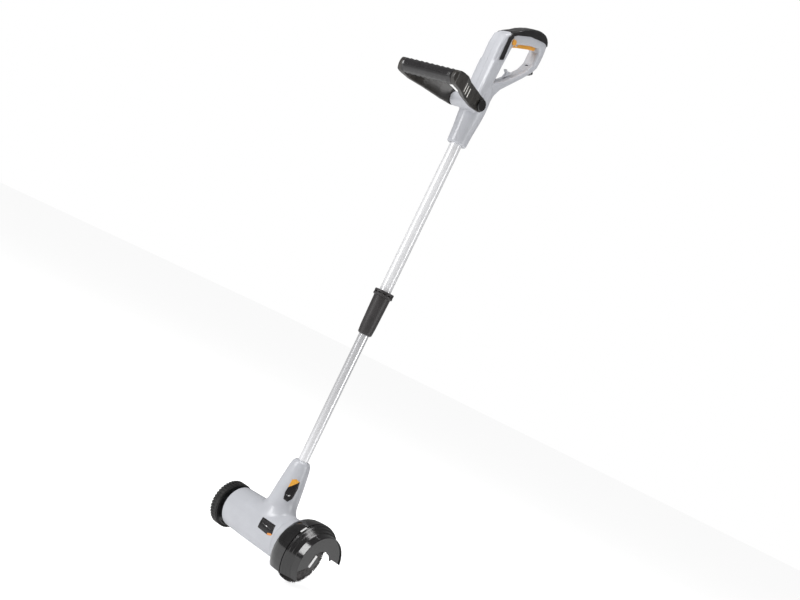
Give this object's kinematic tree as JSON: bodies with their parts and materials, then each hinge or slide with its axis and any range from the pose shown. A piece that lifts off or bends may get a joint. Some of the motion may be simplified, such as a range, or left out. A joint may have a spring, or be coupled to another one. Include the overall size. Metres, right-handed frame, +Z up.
{
  "type": "electric lawn edger",
  "caption": "Corded electric edge and joint brush: motor head with guide wheel, hooded round brush, telescopic pole, tilting front handle and D grip with trigger.",
  "frame": {"origin": "where the pole axis crosses the axis of the motor drum", "axes": "+Z up the pole towards the D handle, +X along the motor drum towards the brush, +Y towards the user, so the front handle points to -Y"},
  "size_m": [0.3012, 0.3117, 1.2856],
  "materials": {
    "grey_plastic": "fine satin grain",
    "black_plastic": "glossy",
    "soft_grip": "matt soft touch",
    "orange_plastic": "satin",
    "aluminium_tube": "satin anodised",
    "steel_parts": "zinc plated",
    "iron_parts": "dull",
    "copper_parts": "dull"
  },
  "bodies": {
    "head": {"housing_front": "grey_plastic", "housing_rear": "grey_plastic", "housing_screw_1": "steel_parts", "housing_screw_2": "steel_parts", "housing_screw_3": "steel_parts", "gearbox_cover": "grey_plastic", "guard_inner": "black_plastic", "guard_outer": "black_plastic", "guard_screw_1": "steel_parts", "guard_screw_2": "steel_parts", "stator_core": "iron_parts", "motor_bearing_left": "steel_parts", "motor_bearing_right": "steel_parts", "carbon_holder_upper": "copper_parts", "carbon_holder_lower": "copper_parts", "spindle_bearing": "steel_parts", "wheel_axle": "steel_parts", "lower_tube": "aluminium_tube", "tube_guide": "black_plastic", "inner_lead": "black_plastic"},
    "rotor": {"motor_shaft": "steel_parts", "armature": "iron_parts", "commutator": "copper_parts", "cooling_fan": "black_plastic", "drive_pinion": "steel_parts"},
    "brush": {"ring_gear": "steel_parts", "brush_spindle": "steel_parts", "drive_flange": "steel_parts", "brush_hub": "black_plastic", "brush_bristles": "iron_parts", "clamp_washer": "iron_parts", "clamp_knob": "black_plastic", "knob_key": "steel_parts"},
    "wheel": {"wheel_rim": "black_plastic", "wheel_tyre": "soft_grip"},
    "pole": {"upper_tube": "aluminium_tube", "collar_ring": "black_plastic", "clamp_collet": "soft_grip", "handle_left": "grey_plastic", "handle_right": "grey_plastic", "handle_screw_1": "steel_parts", "handle_screw_2": "steel_parts", "handle_screw_3": "steel_parts", "grip_overmould": "soft_grip", "trigger_pin": "steel_parts", "trigger_spring": "steel_parts", "switch_body": "black_plastic", "lock_spring": "steel_parts", "cable_hook": "soft_grip", "power_inlet": "black_plastic", "inlet_pin_left": "steel_parts", "inlet_pin_right": "steel_parts", "aux_bolt": "steel_parts"},
    "collar": {"collar_sleeve": "black_plastic"},
    "trigger": {"trigger": "orange_plastic"},
    "lock": {"lock_button": "orange_plastic"},
    "front_handle": {"aux_frame": "black_plastic", "aux_grip": "soft_grip", "aux_cap_left": "black_plastic", "aux_cap_right": "black_plastic"}
  },
  "joints": [
    {"name": "pole_slide", "type": "slide", "parent": "head", "child": "pole", "axis": [0, 0, 1], "range_m": [-0.2, 0.03], "deforming": ["inner_lead"]},
    {"name": "collar_twist", "type": "hinge", "parent": "pole", "child": "collar", "pos_m": [0, 0, 0.5], "axis": [0, 0, 1], "range_deg": [0, 90]},
    {"name": "wheel_spin", "type": "hinge", "parent": "head", "child": "wheel", "pos_m": [-0.13, 0, -0.0038], "axis": [1, 0, 0], "continuous": true},
    {"name": "brush_spin", "type": "hinge", "parent": "head", "child": "brush", "pos_m": [0.1, 0, -0.007], "axis": [1, 0, 0], "continuous": true},
    {"name": "rotor_spin", "type": "hinge", "parent": "head", "child": "rotor", "pos_m": [-0.04, 0, 0], "axis": [1, 0, 0], "continuous": true},
    {"name": "front_handle_tilt", "type": "hinge", "parent": "pole", "child": "front_handle", "pos_m": [0, -0.032, 0.988], "axis": [1, 0, 0], "range_deg": [-55, 40]},
    {"name": "trigger_pull", "type": "hinge", "parent": "pole", "child": "trigger", "pos_m": [0, 0.023, 1.152], "axis": [1, 0, 0], "range_deg": [0, 6], "stiffness_Nm_per_rad": 0.8, "springref_deg": -11.46, "deforming": ["trigger_spring"]},
    {"name": "lock_push", "type": "slide", "parent": "pole", "child": "lock", "axis": [-1, 0, 0], "range_m": [0, 0.004], "stiffness_N_per_m": 300, "springref_m": -0.003}
  ],
  "couplings": [
    {"joint": "rotor_spin", "follows": "brush_spin", "ratio": 2.4167}
  ]
}
